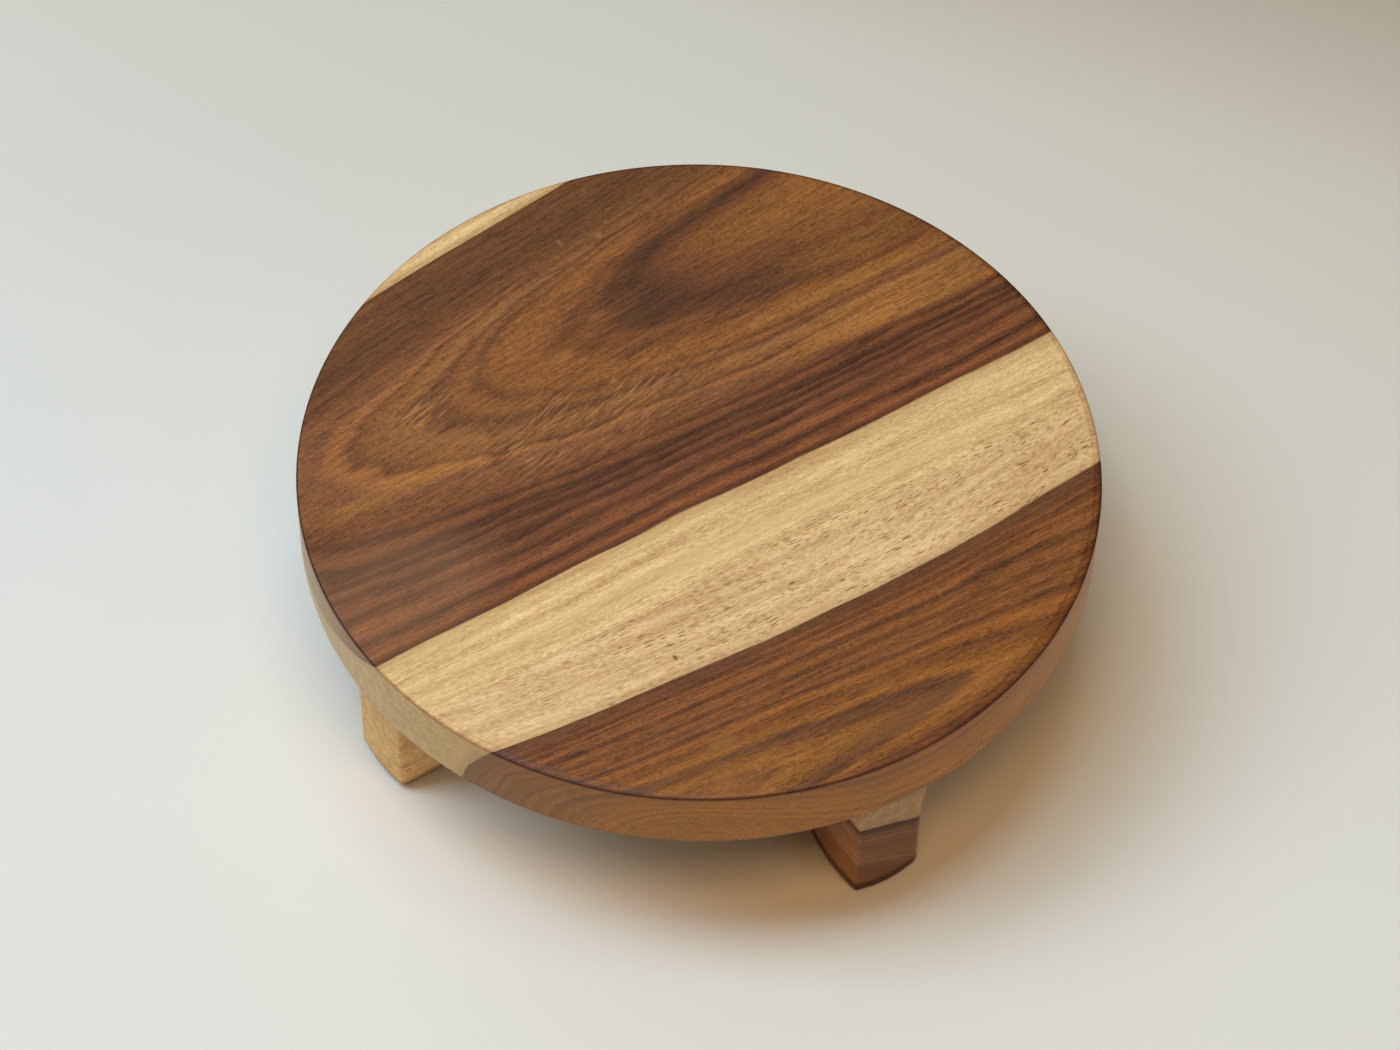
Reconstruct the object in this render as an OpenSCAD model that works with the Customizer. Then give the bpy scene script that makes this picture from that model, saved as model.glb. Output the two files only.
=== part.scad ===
// Round rolling board for flatbread: two hardwood planks glued edge to edge and sawn round,
// standing on four square block feet that are dowelled and glued under the rim.
// The grain of the planks runs along X. The board stands on Z = 0, centred on the origin.

/* [Board] */
// Diameter of the round board
board_d = 250; // [200:1:300]
// Thickness of the planks
board_t = 23; // [18:0.5:32]
// Distance of the glued seam from the centre of the board, towards the front
seam_offset = 41; // [20:1:60]
// Radius of the sanded edge round the rolling face
top_edge_r = 1.8; // [0.6:0.1:4]
// Radius of the eased edge round the underside
under_edge_r = 0.8; // [0.4:0.1:3]

/* [Feet] */
// Width of a foot, along the rim
foot_w = 24; // [20:0.5:32]
// Depth of a foot, from its outer face towards the centre
foot_d = 28; // [22:0.5:40]
// Height of a foot below the board
foot_h = 56; // [35:1:75]
// Distance from the rim of the board to the outer face of a foot
foot_inset = 8; // [3:0.5:16]
// Radius of the sanded upright corners
foot_corner_r = 2; // [0.6:0.1:3]
// Radius of the eased edges under a foot
foot_base_r = 2.5; // [0.6:0.1:4]
// Height over which a sanded corner runs out to square, just under the board
corner_run_out = 7; // [3:0.5:12]

/* [Dowels] */
// Diameter of a dowel
dowel_d = 10; // [6:0.5:12]
// Length of a dowel inside the plank
dowel_in_plank = 10; // [7:0.5:12]
// Length of a dowel inside the foot
dowel_in_foot = 20; // [12:0.5:26]
// Bevel round each end of a dowel
dowel_bevel = 1; // [0.3:0.1:1.5]
// Gap between a dowel and the wall of its hole, for the glue
glue_gap = 0.05; // [0.02:0.01:0.1]
// Room for spare glue past each end of a dowel
glue_room = 0.8; // [0.3:0.1:1.2]

/* [Hidden] */
$fn = 96;

board_r = board_d / 2;
seat_z = foot_h;
seam_y = -seam_offset;
foot_outer = board_r - foot_inset;
dowel_r = dowel_d / 2;
dowel_out = foot_outer - foot_d / 2;
hole_r = dowel_r + glue_gap;
spare = board_d;
overcut = 1;
edge_steps = 8;

// Turns about Z that carry a foot from the right-hand end of the grain to its own place
LEFT = 180;
FRONT = 270;
RIGHT = 0;
BACK = 90;

golden_heartwood = "#9b6638";
russet_heartwood = "#a3683a";
mixed_wood = "#b58a58";
pale_dowel = "#e2cba2";

// Points along a quarter circle about [x, y], starting at the angle from
function quarter(x, y, r, from) = [
    for (i = [0:edge_steps]) let (a = from + i * 90 / edge_steps) [x + r * cos(a), y + r * sin(a)]
];

// Half of the board's outline in the plane of its axis, with both edges rounded
module board_section() {
    polygon(concat(
        [[0, board_t], [0, 0]],
        quarter(board_r - under_edge_r, under_edge_r, under_edge_r, -90),
        quarter(board_r - top_edge_r, board_t - top_edge_r, top_edge_r, 0)
    ));
}

// The whole round board before it is parted along the seam
module round_board() {
    translate([0, 0, seat_z]) rotate_extrude($fn = 180) board_section();
}

// The hole that a dowel is glued into, on the right-hand side
module dowel_hole() {
    hole_length = dowel_in_foot + dowel_in_plank + 2 * glue_room;
    translate([dowel_out, 0, seat_z - dowel_in_foot - glue_room]) cylinder(r = hole_r, h = hole_length);
}

// All four dowel holes
module dowel_holes() {
    for (turn = [LEFT, FRONT, RIGHT, BACK]) rotate(turn) dowel_hole();
}

// The half of space on one side of the seam: 1 is towards the back, -1 towards the front
module beside_seam(side) {
    translate([-spare, side > 0 ? seam_y : seam_y - 2 * spare, seat_z - spare]) cube(2 * spare);
}

module back_plank() {
    color(golden_heartwood) difference() {
        intersection() {
            round_board();
            beside_seam(1);
        }
        dowel_holes();
    }
}

module front_plank() {
    color(russet_heartwood) difference() {
        intersection() {
            round_board();
            beside_seam(-1);
        }
        dowel_holes();
    }
}

// A section as wide as size_x, standing on its base, with the two lower corners rounded
module eased_section(size_x) {
    translate([-size_x / 2, foot_base_r]) square([size_x, foot_h - foot_base_r]);
    translate([foot_base_r - size_x / 2, 0]) square([size_x - 2 * foot_base_r, foot_h]);
    for (side = [-1, 1]) {
        translate([side * (size_x / 2 - foot_base_r), foot_base_r]) circle(r = foot_base_r);
    }
}

// A block centred on the Z axis, standing on Z = 0, with all four edges under it eased
module eased_block() {
    intersection() {
        translate([0, foot_w / 2, 0]) rotate([90, 0, 0]) linear_extrude(foot_w) eased_section(foot_d);
        rotate([90, 0, 90]) translate([0, 0, -foot_d / 2]) linear_extrude(foot_d) eased_section(foot_w);
    }
}

// What sanding takes from an upright corner at the origin whose block lies towards -X and -Y
module corner_waste(height) {
    translate([-foot_corner_r, -foot_corner_r, 0]) difference() {
        cube([foot_w, foot_w, height]);
        translate([0, 0, -overcut]) cylinder(r = foot_corner_r, h = height + 2 * overcut);
    }
}

// The same waste with its end leaning outwards, so that the rounding fades out under the board
module stopped_corner_waste() {
    lean = atan(foot_corner_r / corner_run_out);
    straight = foot_h - corner_run_out;
    translate([0, 0, -overcut]) corner_waste(straight + overcut);
    translate([0, 0, straight]) rotate(a = lean, v = [-1, 1, 0]) corner_waste(corner_run_out);
}

// One foot on the right-hand side, its outer face towards +X
module foot() {
    translate([dowel_out, 0, 0]) difference() {
        eased_block();
        for (side_x = [0, 1], side_y = [0, 1]) {
            mirror([side_x, 0, 0]) mirror([0, side_y, 0]) {
                translate([foot_d / 2, foot_w / 2, 0]) stopped_corner_waste();
            }
        }
        translate([-dowel_out, 0, 0]) dowel_hole();
    }
}

// One dowel on the right-hand side, bevelled at both ends
module dowel() {
    low = seat_z - dowel_in_foot;
    high = seat_z + dowel_in_plank;
    translate([dowel_out, 0, 0]) rotate_extrude() polygon([
        [0, low],
        [dowel_r - dowel_bevel, low],
        [dowel_r, low + dowel_bevel],
        [dowel_r, high - dowel_bevel],
        [dowel_r - dowel_bevel, high],
        [0, high]
    ]);
}

module foot_left() {
    color(mixed_wood) rotate(LEFT) foot();
}

module foot_front() {
    color(mixed_wood) rotate(FRONT) foot();
}

module foot_right() {
    color(mixed_wood) rotate(RIGHT) foot();
}

module foot_back() {
    color(mixed_wood) rotate(BACK) foot();
}

module dowel_left() {
    color(pale_dowel) rotate(LEFT) dowel();
}

module dowel_front() {
    color(pale_dowel) rotate(FRONT) dowel();
}

module dowel_right() {
    color(pale_dowel) rotate(RIGHT) dowel();
}

module dowel_back() {
    color(pale_dowel) rotate(BACK) dowel();
}

back_plank();
front_plank();
foot_left();
foot_front();
foot_right();
foot_back();
dowel_left();
dowel_front();
dowel_right();
dowel_back();
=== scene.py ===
"""Looks of a round rolling board: two oiled sheesham planks glued edge to edge, on four block feet.

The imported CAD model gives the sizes. The planks and the feet are built again here with their sanded
edges, and their wood is a solid one, cut from rings of growth. The dowels keep their CAD shape and are
bare beech. Lengths are metres in the part's frame: +X along the grain, +Y across it, +Z up out of the
rolling face. The woods are worked out in millimetres, as rings, fibres and pores are counted.
"""

import logging
import math
from collections.abc import Sequence
from dataclasses import dataclass, field
from enum import Enum

import bmesh
import bpy
from bmesh.types import BMesh, BMVert
from bpy.types import Material, Node, NodeSocket, NodeTree, Object
from mathutils import Matrix, Vector


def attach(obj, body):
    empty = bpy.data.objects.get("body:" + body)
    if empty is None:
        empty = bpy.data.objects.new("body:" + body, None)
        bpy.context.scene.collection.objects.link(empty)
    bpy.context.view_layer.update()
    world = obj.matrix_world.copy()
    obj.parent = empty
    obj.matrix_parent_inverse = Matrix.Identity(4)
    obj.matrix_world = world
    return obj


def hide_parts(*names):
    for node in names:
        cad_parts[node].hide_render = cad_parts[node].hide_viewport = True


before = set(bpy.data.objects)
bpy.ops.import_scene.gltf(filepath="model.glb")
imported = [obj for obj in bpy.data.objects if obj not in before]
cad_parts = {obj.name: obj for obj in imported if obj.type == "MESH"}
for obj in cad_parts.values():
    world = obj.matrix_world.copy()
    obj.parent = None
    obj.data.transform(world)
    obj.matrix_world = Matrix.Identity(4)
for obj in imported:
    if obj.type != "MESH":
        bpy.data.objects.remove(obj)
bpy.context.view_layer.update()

log = logging.getLogger("rolling_board")

MM = 0.001
BODY = "root"
# How dark each point of an eased edge is painted: darker lines round the rolling face, and painted shade
# on the eased edge under the board and round the feet's bases.
DARK_EDGES = "edge_darkness"
# A colour ramp holds no more stops than this.
RAMP_STOPS = 32
# The property that the word after the dot sets in a kind of node such as "Math.ADD".
CHOICES = {
    "Math": "operation",
    "VectorMath": "operation",
    "VectorRotate": "rotation_type",
    "Mix": "data_type",
    "MapRange": "interpolation_type",
}
# Edges that turn by more degrees than this stay sharp.
SHARP_FROM = 32
# Sizes that several pieces share.
ROLLING_FACE = 79 * MM
UNDERSIDE = 56 * MM
SEAM = -41 * MM
FOOT_CENTRE = 103 * MM

Colour = tuple[float, float, float, float]
Triple = tuple[float, float, float]


def linear(tone: str) -> Colour:
    """Turn an sRGB hex tone into the linear colour that a shader socket takes.

    Args:
        tone: the tone as "#rrggbb".

    Returns:
        Red, green, blue and a full alpha.
    """
    parts = [int(tone[i:i + 2], 16) / 255 for i in (1, 3, 5)]
    red, green, blue = (p / 12.92 if p <= 0.04045 else ((p + 0.055) / 1.055) ** 2.4 for p in parts)
    return red, green, blue, 1.0


def smooth(value: float, low: float, high: float) -> float:
    """Rise softly from 0 at low to 1 at high.

    Args:
        value: the number looked at.
        low: where the rise begins.
        high: where it ends.

    Returns:
        The share of the rise, from 0 to 1.
    """
    share = min(1.0, max(0.0, (value - low) / (high - low)))
    return share * share * (3 - 2 * share)


def in_plan(angle: float) -> Vector:
    """The level vector, one unit long, at an angle in radians from the right-hand end of the grain."""
    return Vector((math.cos(angle), math.sin(angle), 0.0))


def towards(azimuth: float, elevation: float) -> Vector:
    """Point from the board to a lamp or to the camera.

    Args:
        azimuth: the turn about Z from the front towards the right, in radians.
        elevation: the rise above the floor, in radians.

    Returns:
        The vector, one unit long.
    """
    level = math.cos(elevation)
    return Vector((math.sin(azimuth) * level, -math.cos(azimuth) * level, math.sin(elevation)))


class Side(Enum):
    """The four places of a foot, by the turn about Z from the right-hand end of the grain."""

    RIGHT = 0
    BACK = 90
    LEFT = 180
    FRONT = 270

    @property
    def angle(self) -> float:
        """The turn in radians."""
        return math.radians(self.value)

    @property
    def word(self) -> str:
        """The place as the CAD nodes spell it."""
        return self.name.lower()


class Recipe:
    """The node tree of one material or of the world."""

    def __init__(self, tree: NodeTree) -> None:
        """Start from an empty tree."""
        self.tree = tree
        tree.nodes.clear()

    def add(
        self,
        kind: str,
        *feeds: object,
        named: dict[str, object] | None = None,
        stops: Sequence[tuple[float, Colour]] = (),
        **settings: object,
    ) -> Node:
        """Add one node, set it up and wire what feeds it.

        Args:
            kind: the node's type without "ShaderNode", and after a dot what CHOICES says it sets.
            feeds: what goes into the inputs that are in use, in their order. A node stands for its
                first output in use, and None leaves an input alone.
            named: further feeds by the name of their input.
            stops: places and colours, for a node that has a ramp.
            settings: the node's own properties.

        Returns:
            The new node.
        """
        kind, _, choice = kind.partition(".")
        if choice:
            settings[CHOICES[kind]] = choice
        node = self.tree.nodes.new("ShaderNode" + kind)
        for key, value in settings.items():
            setattr(node, key, value)
        if stops:
            elements = node.color_ramp.elements
            elements[0].position, elements[0].color = stops[0]
            elements[1].position, elements[1].color = stops[-1]
            for place, colour in stops[1:-1]:
                elements.new(place).color = colour
        pairs = list(zip([s for s in node.inputs if s.enabled], feeds))
        pairs += [(node.inputs[name], feed) for name, feed in (named or {}).items()]
        for socket, feed in pairs:
            if isinstance(feed, Node):
                feed = next(s for s in feed.outputs if s.enabled)
            if isinstance(feed, NodeSocket):
                self.tree.links.new(feed, socket)
            elif feed is not None:
                socket.default_value = feed
        return node


@dataclass(frozen=True)
class Line:
    """A line along the grain of a face: across = start + slope * along + bend * along * along, in mm."""

    start: float
    slope: float = 0.0
    bend: float = 0.0

    def grow(self, recipe: Recipe, along: NodeSocket) -> Node:
        """Give the line's place at each point.

        Args:
            recipe: the tree to build in.
            along: the distance along the grain.

        Returns:
            The node that holds the place across the grain.
        """
        rise = recipe.add("Math.MULTIPLY_ADD", along, self.bend, self.slope)
        return recipe.add("Math.MULTIPLY_ADD", along, rise, self.start)


@dataclass(frozen=True)
class Trunk:
    """A wood's node tree, and its nodes that say where a point lies in the trunk it was cut from."""

    recipe: Recipe
    radius: Node
    fibre: Node
    along: NodeSocket
    across: NodeSocket
    depth: Node
    # 0 at the pith and 1 at the far edge of the heartwood.
    beyond: Node


@dataclass(frozen=True)
class Growth:
    """Rings of growth round a pith that runs roughly along the grain, all in mm.

    The two edges are where the heartwood ends on the upper face, so that the rings fan out with them.
    """

    pith: Line
    near_edge: Line
    far_edge: Line
    half_width: float
    pith_height: float
    pith_dip: float
    upper_face: float
    # How soon the pith levels out again on the right, and how pointed the arches are.
    pith_bend: float = 0.0
    wedge: float = 0.0
    turn: float = 0.0
    drift: Triple = (0.0, 1.6, 1.0)
    seed: float = 0.0

    def grow(self, recipe: Recipe) -> Trunk:
        """Work out the distance from the pith and the direction of the fibres.

        Args:
            recipe: the tree to build in.

        Returns:
            The tree with the nodes that hold these.
        """
        add = recipe.add
        place = add("VectorMath.SCALE", add("TexCoord").outputs["Object"], 1 / MM)
        if self.turn:
            place = add("VectorRotate.Z_AXIS", place, None, -self.turn)
        # No trunk grows straight: the whole figure sways over about 60 mm along and 20 mm across.
        sway = add("VectorMath.MULTIPLY_ADD", place, (1 / 64, 1 / 21, 1 / 21), (self.seed,) * 3)
        sway = add("TexNoise", sway, 1.0, 1.0, 0.5)
        sway = add("VectorMath.SUBTRACT", sway.outputs["Color"], (0.5, 0.5, 0.5))
        swayed = add("VectorMath.MULTIPLY_ADD", sway, tuple(2 * d for d in self.drift), place)
        parts = add("SeparateXYZ", swayed)
        along, across = parts.outputs["X"], parts.outputs["Y"]
        depth = add("Math.SUBTRACT", self.upper_face, parts.outputs["Z"])

        pith = self.pith.grow(recipe, along)
        offset = add("Math.SUBTRACT", across, pith)
        near_reach = add("Math.SUBTRACT", self.near_edge.grow(recipe, along), pith)
        far_reach = add("Math.SUBTRACT", self.far_edge.grow(recipe, along), pith)
        near = add("Math.DIVIDE", offset, near_reach)
        far = add("Math.DIVIDE", offset, far_reach)
        share = add("Math.MAXIMUM", near, far)

        inside = add("Math.MINIMUM", share, 1.0)
        inside = add("Math.MULTIPLY", inside, inside)
        flat = add("Math.SUBTRACT", 1.0, inside)
        right = add("Math.MAXIMUM", along, 0.0)
        level = add("Math.MULTIPLY", right, right)
        level = add("Math.MULTIPLY", level, self.pith_bend)
        dip = add("Math.MULTIPLY_ADD", along, -self.pith_dip, level)
        rise = add("Math.MULTIPLY_ADD", flat, dip, self.pith_height)
        height = add("Math.ADD", rise, depth)
        width = add("Math.MULTIPLY", share, self.half_width)
        squares = add("Math.MULTIPLY", height, height)
        squares = add("Math.MULTIPLY_ADD", width, width, squares)
        radius = add("Math.SQRT", squares)
        point = add("Math.MULTIPLY", flat, flat)
        point = add("Math.MULTIPLY", point, width)
        radius = add("Math.MULTIPLY_ADD", point, self.wedge, radius)

        # Fibres run with the edges of the heartwood, so the place across them is counted in shares.
        near_side = add("Math.MAXIMUM", near, 0.0)
        far_side = add("Math.MAXIMUM", far, 0.0)
        near_side = add("Math.MULTIPLY", near_side, self.near_edge.start - self.pith.start)
        straight = add("Math.MULTIPLY_ADD", far_side, self.far_edge.start - self.pith.start, near_side)
        fibre = add("CombineXYZ", along, straight, depth)
        return Trunk(recipe, radius, fibre, along, across, depth, far)


@dataclass(frozen=True)
class Ring:
    """One band of growth: how far it lies from the pith, in mm, and its tone."""

    radius: float
    tone: str


def growth_rings(*pairs: tuple[float, str]) -> tuple[Ring, ...]:
    """Rings from the inside out, each given by its distance from the pith in mm and its tone."""
    return tuple(Ring(*pair) for pair in pairs)


@dataclass(frozen=True)
class Streaks:
    """Noise drawn out along the fibres: the length and the width of a streak, in mm."""

    length: float
    width: float

    def grow(self, trunk: Trunk) -> Node:
        """Lay the streaks in the wood.

        Args:
            trunk: where each point lies in the wood.

        Returns:
            The node that holds the noise, from 0 to 1 and about 0.5 on average.
        """
        add = trunk.recipe.add
        stretch = (1 / self.length, 1 / self.width, 1 / self.width)
        drawn = add("VectorMath.MULTIPLY", trunk.fibre, stretch)
        return add("MapRange", add("TexNoise", drawn, 1.0, 2.0, 0.5), 0.28, 0.72, 0.0, 1.0)


@dataclass(frozen=True)
class Pores:
    """Short dashes along the fibres, which are round dots in the end grain.

    The length and the width are those of the room for one pore, in mm.
    """

    length: float
    width: float
    # How much of its room a pore fills, and how many of the rooms stay empty.
    reach: float
    empty: float

    def grow(self, trunk: Trunk) -> Node:
        """Lay the pores in the wood.

        Args:
            trunk: where each point lies in the wood.

        Returns:
            The node that is 1 in a pore and 0 outside.
        """
        add = trunk.recipe.add
        stretch = (1 / self.length, 1 / self.width, 1 / self.width)
        spread = add("VectorMath.MULTIPLY", trunk.fibre, stretch)
        cells = add("TexVoronoi", spread, 1.0)
        dash = add("MapRange.SMOOTHSTEP", cells, self.reach * 0.55, self.reach, 1.0, 0.0)
        chosen = add("SeparateColor", cells.outputs["Color"])
        chosen = add("MapRange", chosen, self.empty, self.empty + 0.2, 0.0, 1.0)
        return add("Math.MULTIPLY", dash, chosen)


# The finest streaks are bundles of vessels, 0.1 mm wide and drawn at 0.4 mm so that they show.
LONG_STREAKS = Streaks(26.0, 1.3)
SHORT_STREAKS = Streaks(6.5, 0.6)
VESSELS = Streaks(1.7, 0.42)
SLOW_PATCHES = Streaks(24.0, 8.0)
BROAD_STREAKS = Streaks(60.0, 3.4)
HEARTWOOD_PORES = Pores(2.2, 0.5, 0.36, 0.5)
LARGE_PORES = Pores(5.2, 0.72, 0.36, 0.40)
SMALL_PORES = Pores(3.0, 0.5, 0.42, 0.25)


@dataclass(frozen=True)
class Patch:
    """A soft-edged oval on a face: its place, its length along the grain and its width, in mm."""

    along: float
    across: float
    length: float
    width: float

    def cover(self, trunk: Trunk) -> Node:
        """Say how much of the patch lies on each point.

        Args:
            trunk: where each point lies in the wood.

        Returns:
            The node that is 1 in the middle of the patch and 0 outside.
        """
        add = trunk.recipe.add
        spot = add("CombineXYZ", trunk.along, trunk.across, 0.0)
        spot = add("VectorMath.SUBTRACT", spot, (self.along, self.across, 0.0))
        spot = add("VectorMath.MULTIPLY", spot, (2 / self.length, 2 / self.width, 0.0))
        away = add("VectorMath.LENGTH", spot).outputs["Value"]
        return add("MapRange.SMOOTHSTEP", away, 1.0, 0.45, 0.0, 1.0)


@dataclass(frozen=True)
class Mark(Patch):
    """A pin knot, a flare, a paler patch or a patch of painted sheen, which reaches from one depth in the
    wood to another, in mm.
    """

    tone: str
    strength: float = 1.0
    starts: float = -8.0
    ends: float = 4.5

    def lay(self, trunk: Trunk, wood: Node) -> Node:
        """Lay the mark over the wood.

        Args:
            trunk: where each point lies in the wood.
            wood: the colour so far.

        Returns:
            The colour with the mark.
        """
        add = trunk.recipe.add
        started = add("MapRange", trunk.depth, self.starts - 1.5, self.starts + 1.5, 0.0, self.strength)
        ended = add("MapRange", trunk.depth, self.ends - 1.5, self.ends + 1.5, 1.0, 0.0)
        cover = add("Math.MULTIPLY", started, ended)
        cover = add("Math.MULTIPLY", self.cover(trunk), cover)
        return add("Mix.RGBA", cover, wood, linear(self.tone))


@dataclass(frozen=True)
class Sapwood:
    """The pale wood outside the heartwood."""

    pale: str = "#f4d39e"
    deep: str = "#b98c58"
    pore: str = "#7a5229"
    # Up to this place across the grain, in mm, the pores stand open as short dark dashes.
    open_up_to: float = -37.0


@dataclass(frozen=True)
class OiledSheesham:
    """Sheesham (Indian rosewood), planed, sanded to about 240 grit and wiped with oil.

    The eye sees soft-edged rings in golden and chocolate browns, straight fibres that shimmer a little,
    short open pores, and a pale straw sapwood with a sharp border. The oil gives a dull satin sheen.
    """

    name: str
    growth: Growth
    rings: tuple[Ring, ...]
    sap_edge: float
    sapwood: Sapwood = Sapwood()
    marks: tuple[Mark, ...] = ()
    # Flares change the tone of the rings, under the streaks.
    flares: tuple[Mark, ...] = ()
    # Oil warms the heartwood: shares of red, green and blue that it lets through.
    oil: Triple = (1.16, 1.06, 0.84)
    # What the upright faces send back beside the rolling face: partly for their lesser burnish, partly
    # painted light that brightens the rims the lamps leave dark.
    upright: Triple = (1.28, 1.22, 0.53)
    upright_sap: Triple = (1.06, 1.00, 0.78)
    # End grain drinks more oil. On the feet these gains also darken it as painted shade.
    end_heart: Triple = (1.0, 1.0, 1.0)
    end_sap: Triple = (1.0, 1.0, 1.0)
    # Sanding dust evens out the upright faces and leaves raised fibres on them.
    dust: float = 0.46
    dust_heart: str = "#8d632e"
    dust_sap: str = "#b3956b"
    fuzz: float = 0.20
    # How strongly the streaks and the fine lines inside the rings darken and lighten the wood, and how
    # the first is shared among long streaks, short ones, vessels and slow patches.
    streak_depth: float = 1.6
    line_depth: float = 0.5
    streak_shares: tuple[float, float, float, float] = (0.26, 0.30, 0.42, 0.16)
    # The arches in the middle of the face, nearer the pith than this, show fewer fine lines.
    calm_inside: float = 0.0
    # How far the rings wander to and fro, in mm.
    wander: float = 0.7
    # Beyond the pith the rings may run into one even brown.
    even_tone: str | None = None
    torn: tuple[Patch, ...] = ()
    # The slantwise ripples of torn grain: size along, across and down in mm, and turn in degrees.
    ripple: Triple = (9.5, 1.15, 3.0)
    ripple_slant: float = -15.0
    # The painted shade and the painted highlight of the torn grain's ripples.
    torn_painted_shade: str = "#4f3421"
    torn_painted_highlight: str = "#bd894e"
    pore_tone: str = "#3f2617"
    seam: float | None = None
    glue_tone: str = "#7a5a36"
    roughness: float = 0.46
    specular: float = 0.25
    relief_height: float = 0.12 * MM
    # What the darkened edges keep of the colour: darker lines round the rolling face, and painted shade on
    # the eased edge under the board and round the feet's bases.
    dark_edge_heart: str = "#937974"
    dark_edge_sap: str = "#d2bda2"

    def make(self) -> Material:
        """Build the material.

        Returns:
            The wood, ready for the pieces cut from it.
        """
        material = bpy.data.materials.new(self.name)
        material.use_nodes = True
        recipe = Recipe(material.node_tree)
        add = recipe.add
        trunk = self.growth.grow(recipe)

        layers = (LONG_STREAKS, SHORT_STREAKS, VESSELS, SLOW_PATCHES)
        coarse, fine, speckle, mottle = (layer.grow(trunk) for layer in layers)
        wobble = add("Math.ADD", coarse, -0.5)
        radius = add("Math.MULTIPLY_ADD", wobble, 0.32, trunk.radius)
        slow = add("Math.ADD", mottle, -0.5)
        radius = add("Math.MULTIPLY_ADD", slow, self.wander, radius)

        heart = self._heartwood(trunk, radius, (coarse, fine, speckle, mottle))
        sap = self._sapwood(trunk, fine, speckle)
        border = add("Math.MULTIPLY_ADD", wobble, 0.35, trunk.radius)
        border = add("MapRange.SMOOTHSTEP", border, self.sap_edge - 0.22, self.sap_edge + 0.28, 0.0, 1.0)
        wood = add("Mix.RGBA", border, heart, sap)

        pores = HEARTWOOD_PORES.grow(trunk)
        heart_only = add("Math.MULTIPLY_ADD", border, -0.45, 0.55)
        dark_pores = add("Math.MULTIPLY", pores, heart_only)
        wood = add("Mix.RGBA", dark_pores, wood, linear(self.pore_tone))
        relief = add("Math.MULTIPLY", fine, 0.4)
        relief = add("Math.MULTIPLY_ADD", pores, -0.4, relief)
        if self.torn:
            wood, relief = self._torn_grain(trunk, wood, relief)
        for mark in self.marks:
            wood = mark.lay(trunk, wood)
        if self.seam is not None:
            wood = self._glue_line(recipe, wood)
        # The upright faces get painted light as well as dust and sheen.
        wood, fuzz = self._stand_up(recipe, wood, border)
        # Darkened edge lines, and painted shade on the eased edges under the board and at the feet's
        # bases.
        wood = self._darken_edges(recipe, wood, border)

        height = add("Bump", 0.22, self.relief_height, named={"Height": relief})
        rough = add("MapRange", coarse, 0.0, 1.0, self.roughness - 0.05, self.roughness + 0.07)
        shader = add("BsdfPrincipled", named={
            "Base Color": wood, "Roughness": rough, "Normal": height,
            "IOR": 1.5, "Specular IOR Level": self.specular,
            "Sheen Weight": fuzz, "Sheen Roughness": 0.35,
        })
        add("OutputMaterial", shader)
        return material

    def _heartwood(self, trunk: Trunk, radius: Node, grain: tuple[Node, ...]) -> Node:
        """Colour the rings and streak them.

        Args:
            trunk: where each point lies in the wood.
            radius: distance from the pith in mm, already uneven.
            grain: long streaks, short streaks, vessels and slow patches.

        Returns:
            The node that holds the colour.
        """
        add = trunk.recipe.add
        bands = self._ramp(trunk.recipe, radius, self.rings[:RAMP_STOPS])
        if len(self.rings) > RAMP_STOPS:
            outer = self._ramp(trunk.recipe, radius, self.rings[RAMP_STOPS - 1:])
            beyond = add("Math.GREATER_THAN", radius, self.rings[RAMP_STOPS - 1].radius)
            bands = add("Mix.RGBA", beyond, bands, outer)
        # Each ring holds finer lines, about 1 mm apart.
        lines = add("TexNoise", None, 0.8, 3.0, 0.65, noise_dimensions="1D", named={"W": radius})
        lines = add("MapRange", lines, 0.3, 0.7, -0.5, 0.5)
        calm = add("MapRange", radius, self.calm_inside - 1.5, self.calm_inside + 2.5, 0.35, 1.0)
        if self.even_tone:
            even = add("MapRange.SMOOTHSTEP", trunk.beyond, 0.35, 0.6, 0.0, 0.7)
            bands = add("Mix.RGBA", even, bands, linear(self.even_tone))
            uneven = add("Math.SUBTRACT", 1.0, even)
            calm = add("Math.MULTIPLY", calm, uneven)
        for flare in self.flares:
            bands = flare.lay(trunk, bands)
        lines = add("Math.MULTIPLY_ADD", lines, calm, 0.5)
        depths = (self.line_depth, *(share * self.streak_depth for share in self.streak_shares))
        light = add("Math.SUBTRACT", 1.0, 0.5 * sum(depths))
        for layer, depth in zip((lines, *grain), depths):
            light = add("Math.MULTIPLY_ADD", layer, depth, light)
        # Even the darkest streak sends back a fifth of the light.
        light = add("Math.MAXIMUM", light, 0.2)
        oiled = add("VectorMath.MULTIPLY", bands, self.oil)
        return add("VectorMath.SCALE", oiled, light)

    def _ramp(self, recipe: Recipe, radius: Node, rings: tuple[Ring, ...]) -> Node:
        """Colour a run of rings.

        Args:
            recipe: the tree to build in.
            radius: distance from the pith in mm.
            rings: the rings from the inside out.

        Returns:
            The node that holds the colour.
        """
        first, last = rings[0].radius, rings[-1].radius
        share = recipe.add("MapRange", radius, first, last, 0.0, 1.0)
        stops = [((ring.radius - first) / (last - first), linear(ring.tone)) for ring in rings]
        return recipe.add("ValToRGB", share, stops=stops)

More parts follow.
